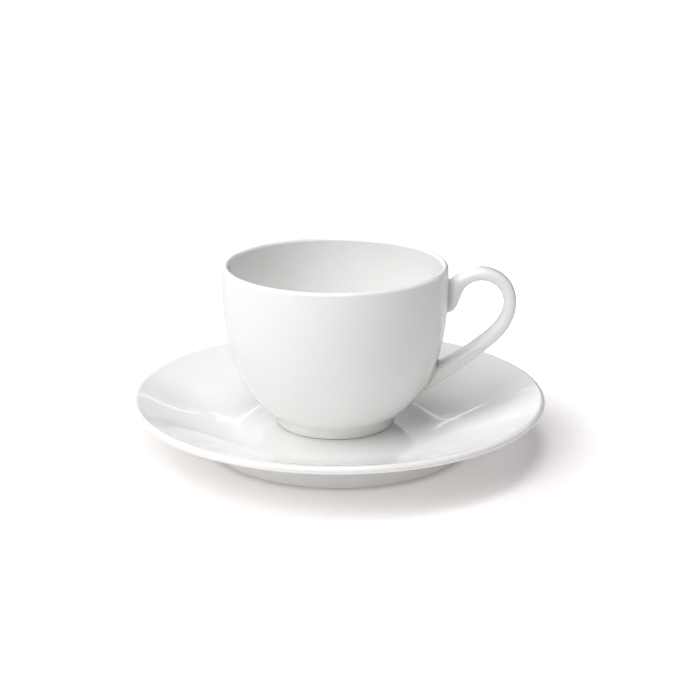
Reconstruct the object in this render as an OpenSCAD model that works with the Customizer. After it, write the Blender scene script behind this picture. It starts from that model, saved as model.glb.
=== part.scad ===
// Espresso cup with a looped handle, standing on its saucer.
// Millimetres, +Z up, origin at the middle of the saucer's standing face.

/* [Saucer] */
// Diameter of the saucer over its edge
saucer_d = 120; // [110:1:140]
// Height of the saucer's edge above the table
saucer_h = 15; // [13:0.5:20]
// Radius of the flat well that the cup stands on
well_r = 25; // [21:0.5:30]
// Height of the well above the table
well_h = 6.2; // [5.5:0.1:8]
// Thickness of the saucer under its well
plate_t = 2.7; // [2:0.1:3.4]
// Thickness of the saucer at its rounded edge
edge_t = 2; // [1.6:0.1:2.6]
// Slope of the flange at the edge, in degrees
flange_slope = 19; // [12:1:24]
// Radius of the saucer's foot ring at the table
saucer_foot_r = 37.8; // [32:0.2:40]
// Width of the saucer's foot ring
saucer_foot_w = 3.2; // [2.4:0.2:4.4]
// Height of the saucer's foot ring on its outer side
saucer_foot_h = 5; // [4.2:0.1:5.6]

/* [Cup] */
// Diameter of the cup over its rim
cup_d = 64.6; // [58:0.2:72]
// Height of the cup above the well
cup_h = 47.4; // [42:0.2:56]
// Thickness of the cup's wall at the rim
wall_t = 1.9; // [1.4:0.1:2.6]
// Thickness of the cup's floor
floor_t = 2.5; // [2:0.1:3.4]
// Radius of the cup's foot ring on the well
cup_foot_r = 17.2; // [14:0.2:20]
// Width of the cup's foot ring
cup_foot_w = 2.6; // [2:0.1:3.6]
// Height of the cup's foot ring on its outer side
cup_foot_h = 3; // [2.6:0.1:4]
// Height of the hollow under the cup's floor
cup_recess = 1.9; // [1.4:0.1:2.4]
// Slope of the bowl where it leaves the foot ring, in degrees
bowl_slope = 31; // [22:1:44]
// Inward lean of the wall at the rim, in degrees
rim_lean = 2.9; // [0:0.1:5]
// How far the cup stands to the left of the saucer's middle
cup_off_centre = 0.85; // [0:0.05:2]

/* [Handle] */
// Reach of the handle from the cup's axis
handle_reach = 52; // [48:0.5:60]
// Drop of the handle's top below the rim
handle_drop = 1; // [0:0.1:3]
// Height of the handle's lower root above the well
handle_low = 9.4; // [8:0.2:14]
// Width of the handle's strap
strap_w = 6.4; // [5:0.1:8]
// Thickness of the slip that joins the handle to the bowl
slip_t = 0.6; // [0.4:0.1:1]
// How far the slip shows round each root of the handle
slip_flare = 0.6; // [0.3:0.1:1]

/* [Hidden] */
$fn = 120;

// Share of the flange's width that each end tangent of its curve takes
flange_tangent_shares = [0.4, 0.34];
// Share of the underside's width that each end tangent of its curve takes
under_tangent_shares = [0.3, 0.35];
// Slope of the underside where it leaves the foot ring, in degrees
under_slope = 12;
// Outward draft of both foot rings at their tops
foot_draft = 0.4;
// Rounding of the standing edges of both foot rings
foot_round = 0.6;
// Share of the rim's radius that the bowl's lower tangent takes
bowl_low_share = 0.183;
// Share of the cup's height that the wall's upper tangent takes
bowl_high_share = 0.665;
// Share of the foot ring's radius where the cup's floor turns flat
floor_flat_share = 0.45;
// Steps along each curved outline, and along each rounded edge
curve_steps = 20;
edge_steps = 12;
// Points round one section of the strap, and rings from station to station
strap_sides = 24;
strap_rings = 4;
// Power that squares the oval section of the strap a little
strap_power = 0.88;
// Reach of a cutter past the face that it cuts
overrun = 2;

// Stations along the handle, from the upper root round to the lower one. Each has the
// outer edge's place, the inner edge's place and the width, as shares of the reach past
// the rim, of the height and of the strap's width.
station_shares = [
    [-0.325, 0.845, -0.595, 0.680, 1.15],
    [-0.175, 0.840, -0.140, 0.595, 1.15],
    [-0.020, 0.890, 0.150, 0.650, 1.10],
    [0.200, 0.970, 0.190, 0.845, 1.00],
    [0.525, 1.020, 0.455, 0.920, 0.96],
    [0.910, 0.930, 0.745, 0.860, 0.96],
    [1.050, 0.715, 0.850, 0.705, 0.98],
    [0.885, 0.475, 0.730, 0.550, 1.00],
    [0.595, 0.350, 0.470, 0.435, 1.02],
    [0.320, 0.225, 0.220, 0.330, 1.05],
    [-0.005, 0.110, 0.035, 0.275, 1.10],
    [-0.290, 0.005, -0.080, 0.235, 1.20],
    [-0.495, -0.025, -0.270, 0.225, 1.25],
    [-0.635, 0.030, -0.480, 0.205, 1.25],
];
// The last place that the strap reaches, and the share of its places that the slip at
// either root lies between
last_place = len(station_shares) - 3;
root_share = 3 / 11;
root_places = round(root_share * last_place);
upper_root_span = [0, root_places];
lower_root_span = [last_place - root_places, last_place];

rim_r = cup_d / 2;
saucer_r = saucer_d / 2;
handle_top = cup_h - handle_drop;

function unit(angle) = [cos(angle), sin(angle)];

function arc(middle, r, from, to) =
    [for (i = [0:edge_steps]) middle + r * unit(from + (to - from) * i / edge_steps)];

function bezier(p, t) =
    pow(1 - t, 3) * p[0] + 3 * t * pow(1 - t, 2) * p[1]
    + 3 * t * t * (1 - t) * p[2] + pow(t, 3) * p[3];

function bezier_slope(p, t) =
    pow(1 - t, 2) * (p[1] - p[0]) + 2 * t * (1 - t) * (p[2] - p[1])
    + t * t * (p[3] - p[2]);

// Normal on the right of the curve, which is the outer side of a wall that climbs
function bezier_normal(p, t) =
    let (d = bezier_slope(p, t)) [d.y, -d.x] / norm(d);

function curve(p) =
    [for (i = [0:curve_steps]) bezier(p, i / curve_steps)];

function offset_curve(p, start_gap, end_gap) =
    [for (i = [0:curve_steps])
        let (t = i / curve_steps)
        bezier(p, t) + bezier_normal(p, t) * (start_gap + (end_gap - start_gap) * t)];

function reversed(list) =
    [for (i = [len(list) - 1:-1:0]) list[i]];

// Half section of a foot ring, from the top of its outer side down and round to the
// hollow inside it
function foot_outline(r, w, outer_h, inner_h) =
    concat(
        [[r + foot_draft, outer_h]],
        arc([r - foot_round, foot_round], foot_round, 0, -90),
        arc([r - w + foot_round, foot_round], foot_round, -90, -180),
        [[r - w - foot_draft, inner_h]]
    );

// Flange of the saucer, from the well's edge up to the rounded outer edge
edge_r = edge_t / 2;
edge_middle = [saucer_r - edge_r, saucer_h - edge_r];
flange_w = saucer_r - well_r;
flange_end = edge_middle + edge_r * unit(flange_slope + 90);
flange_curve = [
    [well_r, well_h],
    [well_r + flange_tangent_shares[0] * flange_w, well_h],
    flange_end - flange_tangent_shares[1] * flange_w * unit(flange_slope),
    flange_end,
];

// Underside of the flange, from the foot ring out to the edge
under_start = [saucer_foot_r + foot_draft, saucer_foot_h];
under_end = edge_middle - edge_r * unit(flange_slope + 90);
under_w = under_end.x - under_start.x;
under_curve = [
    under_start,
    under_start + under_tangent_shares[0] * under_w * unit(under_slope),
    under_end - under_tangent_shares[1] * under_w * unit(flange_slope),
    under_end,
];

// Outside of the bowl, from the foot ring's top up to the rounded lip
lip_r = wall_t / 2;
lip_middle = [rim_r - lip_r, cup_h - lip_r];
lip_start = lip_middle + lip_r * unit(rim_lean);
bowl_start = [cup_foot_r + foot_draft, cup_foot_h];
bowl_curve = [
    bowl_start,
    bowl_start + bowl_low_share * rim_r * unit(bowl_slope),
    lip_start - bowl_high_share * cup_h * unit(rim_lean + 90),
    lip_start,
];

// Inside of the floor, from its flat middle out to the wall
floor_h = cup_recess + floor_t;
wall_foot = bezier(bowl_curve, 0) - bezier_normal(bowl_curve, 0) * floor_t;
floor_corner = wall_foot - (wall_foot.y - floor_h) / sin(bowl_slope) * unit(bowl_slope);
floor_curve = [
    [floor_flat_share * cup_foot_r, floor_h],
    floor_corner,
    floor_corner,
    wall_foot,
];

module saucer() {
    color("white")
    rotate_extrude()
    polygon(concat(
        [[0, well_h]],
        curve(flange_curve),
        arc(edge_middle, edge_r, flange_slope + 90, flange_slope - 90),
        reversed(curve(under_curve)),
        foot_outline(saucer_foot_r, saucer_foot_w, saucer_foot_h, well_h - plate_t),
        [[0, well_h - plate_t]]
    ));
}

// Moves a piece of the cup from its own axis and foot to its place on the well
module on_well() {
    translate([-cup_off_centre, 0, well_h])
    children();
}

module cup_body() {
    color("white")
    on_well()
    rotate_extrude()
    polygon(concat(
        [[0, cup_recess]],
        reversed(foot_outline(cup_foot_r, cup_foot_w, cup_foot_h, cup_recess)),
        curve(bowl_curve),
        arc(lip_middle, lip_r, rim_lean, rim_lean + 180),
        reversed(offset_curve(bowl_curve, -floor_t, -wall_t)),
        reversed(curve(floor_curve)),
        [[0, floor_h]]
    ));
}

// Solid space inside the bowl's outer face, grown by a layer, that the handle is cut to
module bowl_space(layer) {
    outline = offset_curve(bowl_curve, layer, layer);
    top = cup_h + overrun;
    rotate_extrude()
    polygon(concat(
        [[0, outline[0].y]],
        outline,
        [[outline[curve_steps].x, top], [0, top]]
    ));
}

// Cubic spline through the space between four neighbouring stations
function spline(p, u) =
    (pow(1 - u, 3) * p[0] + (3 * pow(u, 3) - 6 * u * u + 4) * p[1]
    + (3 * u + 3 * u * u - 3 * pow(u, 3) + 1) * p[2] + pow(u, 3) * p[3]) / 6;

function station(place) =
    let (i = min(floor(place), len(station_shares) - 4))
    spline([for (k = [0:3]) station_shares[i + k]], place - i);

function handle_point(shares) =
    [rim_r + shares.x * (handle_reach - rim_r),
     handle_low + shares.y * (handle_top - handle_low)];

function rounded(value) =
    sign(value) * pow(abs(value), strap_power);

// One ring of points round the strap
function strap_ring(place, grown) =
    let (
        s = station(place),
        outer = handle_point([s[0], s[1]]),
        inner = handle_point([s[2], s[3]]),
        middle = (outer + inner) / 2,
        half = (outer - inner) / 2,
        reach = half * (1 + grown / norm(half)),
        side = s[4] * strap_w / 2 + grown
    )
    [for (k = [0:strap_sides - 1])
        let (angle = 360 * k / strap_sides)
        [middle.x + reach.x * rounded(cos(angle)),
         side * rounded(sin(angle)),
         middle.y + reach.y * rounded(cos(angle))]];

// The strap from one station to another, with its surface grown outwards
module strap(span, grown) {
    rings = (span[1] - span[0]) * strap_rings;
    points = [for (i = [0:rings]) each strap_ring(span[0] + i / strap_rings, grown)];
    start = [for (k = [strap_sides - 1:-1:0]) k];
    end = [for (k = [0:strap_sides - 1]) rings * strap_sides + k];
    walls = [for (i = [0:rings - 1]) for (k = [0:strap_sides - 1])
        let (
            a = i * strap_sides + k,
            b = i * strap_sides + (k + 1) % strap_sides
        )
        each [[a, b, b + strap_sides], [a, b + strap_sides, a + strap_sides]]];
    polyhedron(points = points, faces = concat([start], walls, [end]));
}

module handle() {
    color("white")
    on_well()
    difference() {
        strap([0, last_place], 0);
        bowl_space(slip_t);
    }
}

// Layer of slip between the bowl and one root of the handle
module slip_joint(span) {
    color("ivory")
    on_well()
    difference() {
        intersection() {
            strap(span, slip_flare);
            bowl_space(slip_t);
        }
        bowl_space(0);
    }
}

module upper_slip_joint() {
    slip_joint(upper_root_span);
}

module lower_slip_joint() {
    slip_joint(lower_root_span);
}

saucer();
cup_body();
handle();
upper_slip_joint();
lower_slip_joint();
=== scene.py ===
import math

import bmesh
import bpy
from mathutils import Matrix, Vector


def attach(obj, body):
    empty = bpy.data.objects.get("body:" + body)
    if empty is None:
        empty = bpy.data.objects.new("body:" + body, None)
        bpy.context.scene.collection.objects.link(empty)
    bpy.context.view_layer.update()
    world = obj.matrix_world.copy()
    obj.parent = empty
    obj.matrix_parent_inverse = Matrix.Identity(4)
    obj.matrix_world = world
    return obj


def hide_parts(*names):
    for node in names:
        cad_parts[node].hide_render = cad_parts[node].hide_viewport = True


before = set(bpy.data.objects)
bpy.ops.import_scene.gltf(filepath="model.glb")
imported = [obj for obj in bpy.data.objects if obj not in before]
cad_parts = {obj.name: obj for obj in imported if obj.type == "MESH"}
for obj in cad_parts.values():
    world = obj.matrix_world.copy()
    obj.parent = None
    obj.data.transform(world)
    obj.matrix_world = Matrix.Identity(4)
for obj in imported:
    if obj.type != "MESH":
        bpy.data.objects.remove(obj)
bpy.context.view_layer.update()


# Saucer.
# One porcelain plate, pressed over a mould, with its foot ring turned in the same piece.
# It has a flat well, a gently rising flange and a rounded edge, and is glazed all over
# except for the narrow ring that it stands on in the kiln.
MM = 0.001
saucer_r = 60 * MM
saucer_h = 15 * MM
well_r = 25 * MM
well_h = 6.2 * MM
plate_t = 2.7 * MM
edge_r = 1.0 * MM
flange_slope = math.radians(19)
under_slope = math.radians(12)
saucer_foot_r = 37.8 * MM
saucer_foot_w = 3.2 * MM
saucer_foot_h = 5.0 * MM
foot_draft = 0.4 * MM
foot_round = 0.6 * MM
glaze_hollow = 0.8 * MM
edge_steps = 28
edge_eased_steps = 4
edge_eased_turn = math.radians(40)
plate_turns = 240
foot_round_steps = 8
under_steps = 32
eased_steps = 24
least_step = 0.01 * MM
weld_gap = 0.002 * MM
biscuit_line = 0.12 * MM
saucer_pool_and_shade_h = 2 * MM
glaze_tone = (0.915, 0.914, 0.905, 1)
cloud_tone = (0.935, 0.934, 0.925, 1)
# The pool and shade tone is partly glaze that pools near each foot and partly painted
# shade, with the warm tint of light bounced off the saucer
pool_and_shade_tone = (0.905, 0.905, 0.875, 1)
biscuit_tone = (0.78, 0.75, 0.70, 1)
ripple_depth = 0.015 * MM

# How strongly the tangents at the two ends pull each outline, as shares of the stretch
# that it spans
flange_pulls = (0.4, 0.34)
under_pulls = (0.3, 0.35)
eased_pulls = (0.6, 0.25)


def toward(angle):
    """Unit step in the half section, at an angle from the outward direction."""
    return Vector((math.cos(angle), math.sin(angle)))


def rounded_edge(middle, r, start, end, steps=14):
    """Points of an arc, which stands for a rounded porcelain edge."""
    return [
        middle + r * toward(start + (end - start) * i / steps)
        for i in range(steps + 1)
    ]


def sweep_line(p, t):
    """Point of the smooth outline that four points pull into shape."""
    u = 1 - t
    return u**3 * p[0] + 3 * t * u * u * p[1] + 3 * t * t * u * p[2] + t**3 * p[3]


def outline(p, steps=64):
    """Points along the smooth outline, both ends included."""
    return [sweep_line(p, i / steps) for i in range(steps + 1)]


def level_line(start_r, end_r, height, steps=10):
    """A flat stretch of the section, such as the saucer's well."""
    return [
        Vector((start_r + (end_r - start_r) * i / steps, height))
        for i in range(steps + 1)
    ]


def foot_section(r, w, outer_h, inner_h, rounding):
    """The foot ring's section, from the top of its outer side to the hollow inside it."""
    outer_round = Vector((r - rounding, rounding))
    inner_round = Vector((r - w + rounding, rounding))
    quarter = math.pi / 2
    return [
        Vector((r + foot_draft, outer_h)),
        *rounded_edge(outer_round, rounding, 0, -quarter, foot_round_steps),
        *rounded_edge(inner_round, rounding, -quarter, -2 * quarter, foot_round_steps),
        Vector((r - w - foot_draft, inner_h)),
    ]


def softened(points, corner, reach, steps=8):
    """The section with one inside corner filled by the small hollow that glaze leaves."""
    at = min(range(len(points)), key=lambda k: (points[k] - corner).length)
    near, far = at, at
    while (points[near] - corner).length < reach:
        near -= 1
    while (points[far] - corner).length < reach:
        far += 1
    start = corner + (points[near] - corner).normalized() * reach
    end = corner + (points[far] - corner).normalized() * reach
    hollow = []
    for i in range(steps + 1):
        t = i / steps
        u = 1 - t
        hollow.append(u * u * start + 2 * t * u * corner + t * t * end)
    return [*points[: near + 1], *hollow, *points[far:]]


def without_doubles(points):
    """The section without points that lie all but on top of each other."""
    kept = [points[0]]
    for p in points[1:]:
        if (p - kept[-1]).length > least_step:
            kept.append(p)
    return kept


def turning_tree():
    """Geometry Nodes that turn a half section about an upright axis, like a wheel."""
    tree = bpy.data.node_groups.new("turned_on_the_wheel", "GeometryNodeTree")
    sockets = tree.interface
    sockets.new_socket("Section", in_out="INPUT", socket_type="NodeSocketGeometry")
    turns = sockets.new_socket("Turns", in_out="INPUT", socket_type="NodeSocketInt")
    turns.default_value = plate_turns
    sockets.new_socket("Axis", in_out="INPUT", socket_type="NodeSocketVector")
    sockets.new_socket("Glaze", in_out="INPUT", socket_type="NodeSocketMaterial")
    sockets.new_socket("Ware", in_out="OUTPUT", socket_type="NodeSocketGeometry")
    new, link = tree.nodes.new, tree.links.new

    given = new("NodeGroupInput")
    made = new("NodeGroupOutput")
    count = new("GeometryNodeAttributeDomainSize")
    link(given.outputs["Section"], count.inputs[0])

    around = new("ShaderNodeMath")
    around.operation = "ADD"
    around.inputs[1].default_value = 1
    link(given.outputs["Turns"], around.inputs[0])

    grid = new("GeometryNodeMeshGrid")
    link(around.outputs[0], grid.inputs["Vertices X"])
    link(count.outputs["Point Count"], grid.inputs["Vertices Y"])

    index = new("GeometryNodeInputIndex")
    row = new("ShaderNodeMath")
    row.operation = "MODULO"
    link(index.outputs[0], row.inputs[0])
    link(count.outputs["Point Count"], row.inputs[1])
    share = new("ShaderNodeMath")
    share.operation = "DIVIDE"
    link(index.outputs[0], share.inputs[0])
    link(count.outputs["Point Count"], share.inputs[1])
    column = new("ShaderNodeMath")
    column.operation = "FLOOR"
    link(share.outputs[0], column.inputs[0])
    part = new("ShaderNodeMath")
    part.operation = "DIVIDE"
    link(column.outputs[0], part.inputs[0])
    link(given.outputs["Turns"], part.inputs[1])
    angle = new("ShaderNodeMath")
    angle.operation = "MULTIPLY"
    angle.inputs[1].default_value = 2 * math.pi
    link(part.outputs[0], angle.inputs[0])

    place = new("GeometryNodeInputPosition")
    sample = new("GeometryNodeSampleIndex")
    sample.data_type = "FLOAT_VECTOR"
    sample.domain = "POINT"
    link(given.outputs["Section"], sample.inputs["Geometry"])
    link(place.outputs[0], sample.inputs["Value"])
    link(row.outputs[0], sample.inputs["Index"])

    turn = new("ShaderNodeVectorRotate")
    turn.rotation_type = "Z_AXIS"
    link(sample.outputs[0], turn.inputs["Vector"])
    link(angle.outputs[0], turn.inputs["Angle"])
    shift = new("ShaderNodeVectorMath")
    shift.operation = "ADD"
    link(turn.outputs[0], shift.inputs[0])
    link(given.outputs["Axis"], shift.inputs[1])

    move = new("GeometryNodeSetPosition")
    link(grid.outputs["Mesh"], move.inputs["Geometry"])
    link(shift.outputs[0], move.inputs["Position"])
    weld = new("GeometryNodeMergeByDistance")
    weld.inputs["Distance"].default_value = weld_gap
    link(move.outputs[0], weld.inputs["Geometry"])
    smooth = new("GeometryNodeSetShadeSmooth")
    link(weld.outputs[0], smooth.inputs[0])
    whole = new("GeometryNodeRealizeInstances")
    link(smooth.outputs[0], whole.inputs[0])
    coat = new("GeometryNodeSetMaterial")
    link(whole.outputs[0], coat.inputs["Geometry"])
    link(given.outputs["Glaze"], coat.inputs["Material"])
    link(coat.outputs[0], made.inputs["Ware"])
    return tree


wheel = turning_tree()


def turned(name, section, turns, axis, glaze):
    """A plain mesh of the ware that the wheel tree turns from a half section."""
    section = without_doubles(section)
    mesh = bpy.data.meshes.new(name)
    mesh.from_pydata(
        [(p.x, 0, p.y) for p in section],
        [(i, i + 1) for i in range(len(section) - 1)],
        [],
    )
    ware = bpy.data.objects.new(name, mesh)
    bpy.context.scene.collection.objects.link(ware)
    turning = ware.modifiers.new("wheel", "NODES")
    turning.node_group = wheel
    inputs = {
        s.name: s.identifier for s in wheel.interface.items_tree if s.in_out == "INPUT"
    }
    turning[inputs["Turns"]] = turns
    turning[inputs["Axis"]] = axis
    turning[inputs["Glaze"]] = glaze
    bpy.context.view_layer.update()
    seen = ware.evaluated_get(bpy.context.evaluated_depsgraph_get())
    plain = bpy.data.meshes.new_from_object(seen)
    ware.modifiers.remove(turning)
    ware.data = plain
    return ware


def porcelain(name, biscuit_h, pool_and_shade_h, pooled_and_shade_tone=pool_and_shade_tone):
    """White porcelain, bare below its first height, with pooled glaze and painted shade
    that darken it up to its second height.
    """
    glaze = bpy.data.materials.new(name)
    glaze.use_nodes = True
    new, link = glaze.node_tree.nodes.new, glaze.node_tree.links.new
    shader = glaze.node_tree.nodes["Principled BSDF"]
    shader.inputs["IOR"].default_value = 1.52
    where = new("ShaderNodeTexCoord")
    parted = new("ShaderNodeSeparateXYZ")
    link(where.outputs["Object"], parted.inputs[0])

    clouds = new("ShaderNodeTexNoise")
    clouds.inputs["Scale"].default_value = 45
    clouds.inputs["Detail"].default_value = 3
    link(where.outputs["Object"], clouds.inputs["Vector"])
    body = new("ShaderNodeMix")
    body.data_type = "RGBA"
    body.inputs["A"].default_value = glaze_tone
    body.inputs["B"].default_value = cloud_tone
    link(clouds.outputs["Fac"], body.inputs["Factor"])

    # Painted shade: the tone darkens towards the foot, where shade falls, along with the
    # glaze that pools there
    pooling_and_shade = new("ShaderNodeMapRange")
    pooling_and_shade.interpolation_type = "SMOOTHSTEP"
    pooling_and_shade.inputs["From Min"].default_value = biscuit_h
    pooling_and_shade.inputs["From Max"].default_value = pool_and_shade_h
    pooling_and_shade.inputs["To Min"].default_value = 1
    pooling_and_shade.inputs["To Max"].default_value = 0
    link(parted.outputs["Z"], pooling_and_shade.inputs["Value"])
    pooled_and_shaded = new("ShaderNodeMix")
    pooled_and_shaded.data_type = "RGBA"
    pooled_and_shaded.inputs["B"].default_value = pooled_and_shade_tone
    link(pooling_and_shade.outputs[0], pooled_and_shaded.inputs["Factor"])
    link(body.outputs["Result"], pooled_and_shaded.inputs["A"])

    bare = new("ShaderNodeMapRange")
    bare.inputs["From Min"].default_value = biscuit_h
    bare.inputs["From Max"].default_value = biscuit_h + biscuit_line
    bare.inputs["To Min"].default_value = 1
    bare.inputs["To Max"].default_value = 0
    link(parted.outputs["Z"], bare.inputs["Value"])
    biscuit = new("ShaderNodeMix")
    biscuit.data_type = "RGBA"
    biscuit.inputs["B"].default_value = biscuit_tone
    link(bare.outputs[0], biscuit.inputs["Factor"])
    link(pooled_and_shaded.outputs["Result"], biscuit.inputs["A"])
    link(biscuit.outputs["Result"], shader.inputs["Base Color"])

    polish = new("ShaderNodeMapRange")
    polish.inputs["To Min"].default_value = 0.02
    polish.inputs["To Max"].default_value = 0.055
    link(clouds.outputs["Fac"], polish.inputs["Value"])
    dull = new("ShaderNodeMix")
    dull.inputs["B"].default_value = 0.62
    link(bare.outputs[0], dull.inputs["Factor"])
    link(polish.outputs[0], dull.inputs["A"])
    link(dull.outputs["Result"], shader.inputs["Roughness"])

    ripple = new("ShaderNodeTexNoise")
    ripple.inputs["Scale"].default_value = 150
    ripple.inputs["Detail"].default_value = 2
    link(where.outputs["Object"], ripple.inputs["Vector"])
    grain = new("ShaderNodeTexNoise")
    grain.inputs["Scale"].default_value = 4000
    link(where.outputs["Object"], grain.inputs["Vector"])
    relief = new("ShaderNodeMix")
    link(bare.outputs[0], relief.inputs["Factor"])
    link(ripple.outputs["Fac"], relief.inputs["A"])
    link(grain.outputs["Fac"], relief.inputs["B"])
    bump = new("ShaderNodeBump")
    bump.inputs["Strength"].default_value = 0.18
    bump.inputs["Distance"].default_value = ripple_depth
    link(relief.outputs["Result"], bump.inputs["Height"])
    link(bump.outputs[0], shader.inputs["Normal"])
    return glaze


edge_middle = Vector((saucer_r - edge_r, saucer_h - edge_r))
upright = math.pi / 2
flange_w = saucer_r - well_r
flange_end = edge_middle + edge_r * toward(flange_slope + upright)
flange_line = [
    Vector((well_r, well_h)),
    Vector((well_r + flange_pulls[0] * flange_w, well_h)),
    flange_end - flange_pulls[1] * flange_w * toward(flange_slope),
    flange_end,
]
under_start = Vector((saucer_foot_r + foot_draft, saucer_foot_h))
under_end = edge_middle - edge_r * toward(flange_slope + upright)
under_w = under_end.x - under_start.x
under_line = [
    under_start,
    under_start + under_pulls[0] * under_w * toward(under_slope),
    under_end - under_pulls[1] * under_w * toward(flange_slope),
    under_end,
]
hollow_h = well_h - plate_t
flange = outline(flange_line)[:-edge_eased_steps]
eased_slope = flange_slope - edge_eased_turn
eased_end = edge_middle + edge_r * toward(eased_slope + upright)
eased_reach = (eased_end - flange[-1]).length
flange_run = (flange[-1] - flange[-2]).normalized()
eased_line = [
    flange[-1],
    flange[-1] + eased_pulls[0] * eased_reach * flange_run,
    eased_end - eased_pulls[1] * eased_reach * toward(eased_slope),
    eased_end,
]
saucer_section = [
    *level_line(0, well_r, well_h),
    *flange,
    *outline(eased_line, eased_steps),
    *rounded_edge(
        edge_middle, edge_r, eased_slope + upright, flange_slope - upright, edge_steps
    ),
    *reversed(outline(under_line, under_steps)),
    *foot_section(saucer_foot_r, saucer_foot_w, saucer_foot_h, hollow_h, foot_round),
    *level_line(saucer_foot_r - saucer_foot_w - foot_draft, 0, hollow_h),
]
inner_foot = Vector((saucer_foot_r - saucer_foot_w - foot_draft, hollow_h))
saucer_section = softened(saucer_section, under_start, glaze_hollow)
saucer_section = softened(saucer_section, inner_foot, glaze_hollow)
saucer_glaze = porcelain("saucer_glaze", biscuit_line, saucer_pool_and_shade_h)
saucer_ware = turned(
    "saucer_porcelain", saucer_section, plate_turns, (0, 0, 0), saucer_glaze
)
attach(saucer_ware, "saucer")
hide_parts("saucer")


# Cup body.
# A round-bellied bowl of thin porcelain, formed in a mould with its foot ring, with a
# half-round lip. It stands loose on the saucer's well, a little left of the middle.
cup_off_centre = -0.85 * MM
cup_axis = Vector((cup_off_centre, 0, well_h))
rim_r = 32.3 * MM
cup_h = 47.4 * MM
lip_r = 0.95 * MM
floor_t = 2.5 * MM
cup_foot_r = 17.2 * MM
cup_foot_w = 2.6 * MM
cup_foot_h = 3.0 * MM
cup_recess = 1.9 * MM
cup_foot_round = 0.9 * MM
cup_foot_hollow = 1.9 * MM
bowl_slope = math.radians(31)
rim_lean = math.radians(2.9)
bowl_turns = 160
cup_foot_hollow_steps = 14
floor_curve_steps = 24
floor_flat_steps = 6
floor_flat_share = 0.45
cup_pool_and_shade_h = 4 * MM

# How far the bowl's outline follows its slope at the foot and its lean at the rim, as
# shares of the rim's radius and of the cup's height
bowl_pulls = (0.183, 0.665)

lip_middle = Vector((rim_r - lip_r, cup_h - lip_r))
lip_start = lip_middle + lip_r * toward(rim_lean)
bowl_start = Vector((cup_foot_r + foot_draft, cup_foot_h))
bowl_line = [
    bowl_start,
    bowl_start + bowl_pulls[0] * rim_r * toward(bowl_slope),
    lip_start - bowl_pulls[1] * cup_h * toward(rim_lean + upright),
    lip_start,
]


def sweep_normal(p, t):
    """Outward side of a wall that climbs along the outline."""
    u = 1 - t
    d = u * u * (p[1] - p[0]) + 2 * t * u * (p[2] - p[1]) + t * t * (p[3] - p[2])
    return Vector((d.y, -d.x)).normalized()


def inner_wall(steps=64):
    """Inside of the bowl, as thick as the floor at the foot and as the lip at the rim."""
    points = []
    for i in range(steps + 1):
        t = i / steps
        thickness = floor_t + (2 * lip_r - floor_t) * t
        points.append(sweep_line(bowl_line, t) - thickness * sweep_normal(bowl_line, t))
    return points


floor_h = cup_recess + floor_t
floor_flat_r = floor_flat_share * cup_foot_r
inside = inner_wall()
wall_foot = inside[0]
fall = (wall_foot.y - floor_h) / math.sin(bowl_slope)
floor_corner = wall_foot - fall * toward(bowl_slope)
floor_line = [
    Vector((floor_flat_r, floor_h)),
    floor_corner,
    floor_corner,
    wall_foot,
]
cup_section = [
    *level_line(0, cup_foot_r - cup_foot_w - foot_draft, cup_recess),
    *reversed(
        foot_section(cup_foot_r, cup_foot_w, cup_foot_h, cup_recess, cup_foot_round)
    ),
    *outline(bowl_line),
    *rounded_edge(lip_middle, lip_r, rim_lean, rim_lean + math.pi),
    *reversed(inside),
    *reversed(outline(floor_line, floor_curve_steps)),
    *level_line(floor_flat_r, 0, floor_h, floor_flat_steps),
]
recess_edge = Vector((cup_foot_r - cup_foot_w - foot_draft, cup_recess))
cup_section = softened(cup_section, recess_edge, glaze_hollow)
cup_section = softened(
    cup_section, bowl_start, cup_foot_hollow, cup_foot_hollow_steps
)
cup_glaze = porcelain("cup_glaze", well_h + biscuit_line, well_h + cup_pool_and_shade_h)
cup_ware = turned("cup_porcelain", cup_section, bowl_turns, cup_axis, cup_glaze)
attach(cup_ware, "cup")
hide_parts("cup_body")


# Handle.
# An ear-shaped loop, cast by itself in a two-part mould and stuck to the bowl before
# firing. Its strap is an oval that thins over the top and grows towards both roots, and
# its upper root has a short tail that hangs down the wall.
handle_reach = 52 * MM
handle_top = cup_h - 1 * MM
handle_low = 9.4 * MM
strap_w = 6.4 * MM
strap_power = 0.72
strap_sides = 48
strap_rows = 150
strap_sink = 0.8 * MM
upper_neck = 0.86
lower_neck = 0.1
neck_reach = 1.25 * MM
root_stations = 3
wall_steps = 400
halvings = 40

# Outer edge's place, inner edge's place and width at each station, as shares of the
# reach past the rim, of the handle's height and of the strap's width
station_shares = [
    (-0.325, 0.845, -0.595, 0.680, 1.15),
    (-0.175, 0.840, -0.140, 0.595, 1.15),
    (-0.020, 0.890, 0.150, 0.650, 1.10),
    (0.200, 0.970, 0.190, 0.845, 1.00),
    (0.525, 1.020, 0.455, 0.920, 0.96),
    (0.910, 0.930, 0.745, 0.860, 0.96),
    (1.050, 0.715, 0.850, 0.705, 0.98),
    (0.885, 0.475, 0.730, 0.550, 1.00),
    (0.595, 0.350, 0.470, 0.435, 1.02),
    (0.320, 0.225, 0.220, 0.330, 1.05),
    (-0.005, 0.110, 0.035, 0.275, 1.10),
    (-0.290, 0.005, -0.080, 0.235, 1.20),
    (-0.495, -0.025, -0.270, 0.225, 1.25),
    (-0.635, 0.030, -0.480, 0.205, 1.25),
]
last_place = len(station_shares) - 3


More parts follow.
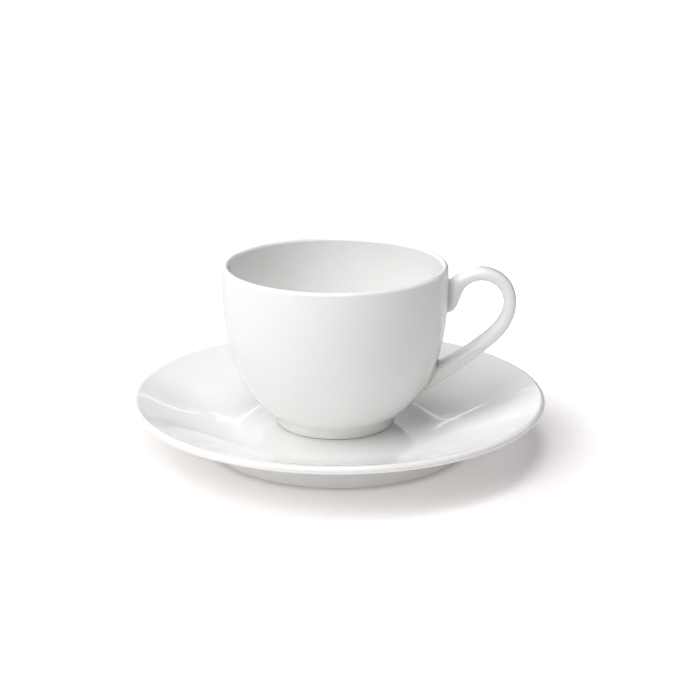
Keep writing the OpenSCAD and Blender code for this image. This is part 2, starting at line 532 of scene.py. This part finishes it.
def station(place):
    """Blend of the four stations round a place on the handle, as a cubic B-spline."""
    i = min(int(place), last_place - 1)
    u = place - i
    pulls = (
        (1 - u) ** 3 / 6,
        (3 * u**3 - 6 * u * u + 4) / 6,
        (3 * u + 3 * u * u - 3 * u**3 + 1) / 6,
        u**3 / 6,
    )
    rows = station_shares[i : i + 4]
    return [sum(w * row[k] for w, row in zip(pulls, rows)) for k in range(5)]


def squared(value):
    """A cosine or sine made fuller, which makes the strap's oval squarer."""
    return math.copysign(abs(value) ** strap_power, value)


def strap_point(place, angle):
    """Point on the strap's surface, measured from the cup's axis and foot."""
    outer_x, outer_z, inner_x, inner_z, width = station(place)
    span = handle_reach - rim_r
    rise = handle_top - handle_low
    outer = Vector((rim_r + outer_x * span, 0, handle_low + outer_z * rise))
    inner = Vector((rim_r + inner_x * span, 0, handle_low + inner_z * rise))
    across = Vector((0, width * strap_w / 2, 0))
    along = (outer - inner) / 2
    middle = (outer + inner) / 2
    return middle + along * squared(math.cos(angle)) + across * squared(math.sin(angle))


wall_table = [
    (sweep_line(bowl_line, i / wall_steps), sweep_normal(bowl_line, i / wall_steps))
    for i in range(wall_steps + 1)
]


def wall_at(height):
    """Outer radius of the bowl and its outward normal at a height above its foot."""
    low, high = 0, len(wall_table) - 1
    while high - low > 1:
        half = (low + high) // 2
        if wall_table[half][0].y < height:
            low = half
        else:
            high = half
    a, b = wall_table[low], wall_table[high]
    share = (height - a[0].y) / (b[0].y - a[0].y)
    share = min(max(share, 0), 1)
    return a[0].x + (b[0].x - a[0].x) * share, a[1].lerp(b[1], share)


def off_wall(p):
    """How far a point lies outside the bowl's outer face."""
    r, normal = wall_at(p.z)
    return (math.hypot(p.x, p.y) - r) * normal.x


def meets_wall(angle, distance, inside, outside):
    """Place along one line of the strap where it lies at a distance from the bowl."""
    for _ in range(halvings):
        half = (inside + outside) / 2
        if off_wall(strap_point(half, angle)) < distance:
            inside = half
        else:
            outside = half
    return outside


def closed_loft(name, rows, glaze):
    """A closed mesh over rows of points, each a ring, with a fan at either end."""
    shell = bmesh.new()
    rings = [[shell.verts.new(p + cup_axis) for p in row] for row in rows]
    sides = len(rows[0])
    for near, far in zip(rings, rings[1:]):
        for k in range(sides):
            n = (k + 1) % sides
            shell.faces.new((near[k], far[k], far[n], near[n]))
    for ring in (rings[0], rings[-1]):
        hub = shell.verts.new(sum((v.co for v in ring), Vector()) / sides)
        for k in range(sides):
            shell.faces.new((ring[k], ring[(k + 1) % sides], hub))
    bmesh.ops.recalc_face_normals(shell, faces=shell.faces)
    for face in shell.faces:
        face.smooth = True
    mesh = bpy.data.meshes.new(name)
    shell.to_mesh(mesh)
    shell.free()
    mesh.materials.append(glaze)
    piece = bpy.data.objects.new(name, mesh)
    bpy.context.scene.collection.objects.link(piece)
    return piece


def pinched(p):
    """The strap nips in a little just off the wall, where the maker pressed the root on."""
    depth = upper_neck if p.z > cup_h / 2 else lower_neck
    nip = depth * math.exp(-((off_wall(p) / neck_reach) ** 2))
    return Vector((p.x, p.y * (1 - nip), p.z))


upper_root = (0, root_stations)
lower_root = (last_place, last_place - root_stations)
strap_angles = [2 * math.pi * k / strap_sides for k in range(strap_sides)]
upper_ends = [meets_wall(a, -strap_sink, *upper_root) for a in strap_angles]
lower_ends = [meets_wall(a, -strap_sink, *lower_root) for a in strap_angles]
strap = []
for i in range(strap_rows + 1):
    share = i / strap_rows
    strap.append(
        [
            pinched(strap_point(start + (end - start) * share, angle))
            for angle, start, end in zip(strap_angles, upper_ends, lower_ends)
        ]
    )
handle_ware = closed_loft("handle_porcelain", strap, cup_glaze)
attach(handle_ware, "cup")
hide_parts("handle")


# Slip joints.
# Liquid clay that sticks each root of the handle to the bowl. It squeezes out into a
# small hollow fillet, fires as hard as the rest and runs under the same glaze.
upper_fillet = 0.4 * MM
lower_fillet = 1.0 * MM
fillet_rows = 12
glaze_lap = 0.015 * MM
buried_share = 0.1
core_share = 0.3

# Painted shade: the fillets are darkened for the shade in the crevices where the handle
# meets the bowl, more so at the lower root
slip_crevice_shade_tone = (0.68, 0.685, 0.625, 1)
slip_shade_fade_h = 2 * cup_h
slip_shaded_glaze = porcelain("slip_shaded_glaze", 0, slip_shade_fade_h, slip_crevice_shade_tone)


def on_wall(p, depth):
    """The nearest point of the bowl's outer face, sunk by a depth."""
    r, normal = wall_at(p.z)
    flat = Vector((p.x, p.y, 0)).normalized()
    face = flat * r + Vector((0, 0, p.z))
    return face - (flat * normal.x + Vector((0, 0, normal.y))) * depth


def slip_rows(reach, inside, outside):
    """Rings of one fillet, from inside the wall out over its hollow into the strap."""
    corners, grips = [], []
    for angle in strap_angles:
        corner = meets_wall(angle, 0, inside, outside)
        corners.append(pinched(strap_point(corner, angle)))
        grip = meets_wall(angle, reach, inside, outside)
        grips.append(pinched(strap_point(grip, angle)))
    middle = sum(corners, Vector()) / strap_sides
    core = sum(grips, Vector()) / strap_sides
    feet = []
    for corner in corners:
        away = corner - middle
        feet.append(on_wall(corner + away.normalized() * reach, glaze_lap))
    buried = [on_wall(f.lerp(middle, buried_share), strap_sink / 2) for f in feet]
    rows = [buried, feet]
    for i in range(1, fillet_rows + 1):
        t = i / fillet_rows
        u = 1 - t
        rows.append(
            [
                u * u * f + 2 * t * u * c + t * t * g
                for f, c, g in zip(feet, corners, grips)
            ]
        )
    rows.append([g.lerp(core, core_share) for g in grips])
    return rows


upper_rows = slip_rows(upper_fillet, *upper_root)
upper_slip = closed_loft("upper_slip_fillet", upper_rows, slip_shaded_glaze)
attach(upper_slip, "cup")
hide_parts("upper_slip_joint")

lower_rows = slip_rows(lower_fillet, *lower_root)
lower_slip = closed_loft("lower_slip_fillet", lower_rows, slip_shaded_glaze)
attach(lower_slip, "cup")
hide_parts("lower_slip_joint")


# Studio.
# A sheet of white paper lies under the set. Big softboxes stand over its left shoulder
# and before it, the right side is dim, and a narrow lamp reaches into the bowl. Strips
# behind the set make the bright strokes in the saucer's glaze.
paper_half = 3.0
paper_tone = (0.88, 0.85, 0.845, 1)
plain_white = (1, 1, 1, 1)

# The paper's own glow, as the camera sees it near the saucer and far from it, which paints
# part of the saucer's shadow, and as the ware sees it, which lights the ware like a lamp,
# with the distances between which it rises
near_glow = 0.17
far_glow = 1.0
ware_glow = 0.21
near_distance = 62 * MM
far_distance = 115 * MM
foot_shade_w = 3 * MM
paper_mesh = bpy.data.meshes.new("floor")
paper_mesh.from_pydata(
    [
        (-paper_half, -paper_half, 0),
        (paper_half, -paper_half, 0),
        (paper_half, paper_half, 0),
        (-paper_half, paper_half, 0),
    ],
    [],
    [(0, 1, 2, 3)],
)
floor = bpy.data.objects.new("floor", paper_mesh)
bpy.context.scene.collection.objects.link(floor)
paper = bpy.data.materials.new("white_paper")
paper.use_nodes = True
paper_mesh.materials.append(paper)
new, link = paper.node_tree.nodes.new, paper.node_tree.links.new
matt = paper.node_tree.nodes["Principled BSDF"]
matt.inputs["Base Color"].default_value = paper_tone
matt.inputs["Roughness"].default_value = 0.9
matt.inputs["Specular IOR Level"].default_value = 0
place = new("ShaderNodeTexCoord")
distance = new("ShaderNodeVectorMath")
distance.operation = "LENGTH"
link(place.outputs["Object"], distance.inputs[0])
# Painted shadow: the paper's glow is dimmer near the saucer and stands in for the saucer's
# shadow on the paper
painted_saucer_shadow = new("ShaderNodeMapRange")
painted_saucer_shadow.interpolation_type = "SMOOTHSTEP"
painted_saucer_shadow.inputs["From Min"].default_value = near_distance
painted_saucer_shadow.inputs["From Max"].default_value = far_distance
painted_saucer_shadow.inputs["To Min"].default_value = near_glow
painted_saucer_shadow.inputs["To Max"].default_value = far_glow
link(distance.outputs["Value"], painted_saucer_shadow.inputs["Value"])
# Painted shade: the glow fades out at the saucer's foot and stands in for the dark contact
# line on the paper
foot_shade = new("ShaderNodeMapRange")
foot_shade.inputs["From Min"].default_value = saucer_foot_r
foot_shade.inputs["From Max"].default_value = saucer_foot_r + foot_shade_w
foot_shade.inputs["To Min"].default_value = 0
foot_shade.inputs["To Max"].default_value = 1
link(distance.outputs["Value"], foot_shade.inputs["Value"])
shaded = new("ShaderNodeMath")
shaded.operation = "MULTIPLY"
link(painted_saucer_shadow.outputs[0], shaded.inputs[0])
link(foot_shade.outputs[0], shaded.inputs[1])
rays = new("ShaderNodeLightPath")
as_seen = new("ShaderNodeMix")
as_seen.inputs["A"].default_value = ware_glow
link(rays.outputs["Is Camera Ray"], as_seen.inputs["Factor"])
link(shaded.outputs[0], as_seen.inputs["B"])
glow = new("ShaderNodeEmission")
link(as_seen.outputs["Result"], glow.inputs["Strength"])
lit_paper = new("ShaderNodeAddShader")
link(matt.outputs[0], lit_paper.inputs[0])
link(glow.outputs[0], lit_paper.inputs[1])
link(lit_paper.outputs[0], paper.node_tree.nodes["Material Output"].inputs[0])

world = bpy.data.worlds.new("studio")
bpy.context.scene.world = world
world.use_nodes = True
new, link = world.node_tree.nodes.new, world.node_tree.links.new
room = world.node_tree.nodes["Background"]
direction = new("ShaderNodeTexCoord")
parted = new("ShaderNodeSeparateXYZ")
link(direction.outputs["Generated"], parted.inputs[0])


def room_side(axis, far, strength):
    """Light from one side of the room, which fades out towards the other side."""
    side = new("ShaderNodeMapRange")
    side.inputs["From Min"].default_value = 0
    side.inputs["From Max"].default_value = far
    side.inputs["To Min"].default_value = 0
    side.inputs["To Max"].default_value = strength
    link(parted.outputs[axis], side.inputs["Value"])
    return side


left_side = room_side("X", -1, 0.1)
front_side = room_side("Y", -1, 1.0)

# A black card behind the set on its right, which darkens what the glaze mirrors there
card_turn = math.radians(66)
card_rise = math.radians(7)
card_outer = math.radians(28)
card_inner = math.radians(19)
card_light = 0.1
card = new("ShaderNodeVectorMath")
card.operation = "DOT_PRODUCT"
card.inputs[1].default_value = (
    math.cos(card_turn) * math.cos(card_rise),
    math.sin(card_turn) * math.cos(card_rise),
    math.sin(card_rise),
)
link(direction.outputs["Generated"], card.inputs[0])
black_card = new("ShaderNodeMapRange")
black_card.interpolation_type = "SMOOTHSTEP"
black_card.inputs["From Min"].default_value = math.cos(card_outer)
black_card.inputs["From Max"].default_value = math.cos(card_inner)
black_card.inputs["To Min"].default_value = 1
black_card.inputs["To Max"].default_value = card_light
link(card.outputs["Value"], black_card.inputs["Value"])
lit_room = new("ShaderNodeMath")
lit_room.operation = "ADD"
link(front_side.outputs[0], lit_room.inputs[0])
link(black_card.outputs[0], lit_room.inputs[1])
rays = new("ShaderNodeLightPath")
by_ray = new("ShaderNodeMix")
link(rays.outputs["Is Glossy Ray"], by_ray.inputs["Factor"])
link(left_side.outputs[0], by_ray.inputs["A"])
link(lit_room.outputs[0], by_ray.inputs["B"])
link(by_ray.outputs["Result"], room.inputs["Strength"])
white = new("ShaderNodeBackground")
white.inputs["Color"].default_value = plain_white
room.inputs["Color"].default_value = plain_white
backdrop = new("ShaderNodeMixShader")
link(rays.outputs["Is Camera Ray"], backdrop.inputs[0])
link(room.outputs[0], backdrop.inputs[1])
link(white.outputs[0], backdrop.inputs[2])
link(backdrop.outputs[0], world.node_tree.nodes["World Output"].inputs[0])


ware_middle = (0, 0, 30 * MM)
bowl_back = (cup_off_centre, 20 * MM, 50 * MM)


def softbox(
    name,
    turn,
    rise,
    distance,
    width,
    height,
    power,
    lean=0,
    spread=180,
    aim=ware_middle,
):
    """A flat lamp that faces the ware, at a turn from +X and a rise above the table."""
    light = bpy.data.lights.new(name, "AREA")
    light.shape = "RECTANGLE"
    light.size = width
    light.size_y = height
    light.energy = power
    light.spread = math.radians(spread)
    turn, rise = math.radians(turn), math.radians(rise)
    flat = distance * math.cos(rise)
    place = Vector(
        (flat * math.cos(turn), flat * math.sin(turn), distance * math.sin(rise))
    )
    holder = bpy.data.objects.new(name, light)
    holder.location = place
    facing = Vector(aim) - place
    holder.rotation_euler = facing.to_track_quat("-Z", "Y").to_euler()
    holder.rotation_euler.rotate_axis("Z", math.radians(lean))
    holder.visible_camera = False
    bpy.context.scene.collection.objects.link(holder)


# Turn and rise in degrees, distance, width and height in metres and power in watts,
# then the strips' lean and the narrow lamp's spread, in degrees
softbox("left_softbox", 200, 45, 1.2, 0.9, 0.9, 3.2)
softbox("front_softbox", 236, 62, 1.2, 0.9, 0.9, 6.9)
softbox("low_softbox", 222, 25, 1.2, 0.6, 0.6, 2.6)
softbox("top_lamp", 0, 90, 1.2, 0.45, 0.45, 3.9)
softbox("right_lamp", 0, 50, 1.2, 0.45, 0.45, 0.25)
softbox("right_low_lamp", 305, 20, 1.2, 0.45, 0.45, 0.2)
softbox("bowl_snoot", 270, 50, 1.2, 0.04, 0.04, 0.0006, spread=2.2, aim=bowl_back)
softbox("back_lamp", 150, 40, 1.2, 0.3, 0.3, 0.9)
softbox("back_panel", 90, 15, 1.55, 0.36, 0.38, 0.11)
softbox("back_left_rail", 92.6, 21.0, 1.6, 0.27, 0.016, 0.022, lean=25)
softbox("back_right_rail", 89.0, 20.7, 1.6, 0.18, 0.016, 0.010, lean=-24)
softbox("back_right_post", 84.3, 17.5, 1.6, 0.018, 0.12, 0.008, lean=-20)

# Fitted to the ellipses of the rim, the saucer's edge and both foot rings
sensor_w = 36
focal_length = 83.44
camera_place = (0.00018, -0.4344, 0.1665)
camera_tilt = math.radians(72.75)
lens = bpy.data.cameras.new("camera")
lens.sensor_width = sensor_w
lens.lens = focal_length
camera = bpy.data.objects.new("camera", lens)
camera.location = camera_place
camera.rotation_euler = (camera_tilt, 0, 0)
bpy.context.scene.collection.objects.link(camera)
bpy.context.scene.camera = camera
bpy.context.scene.view_settings.view_transform = "Standard"
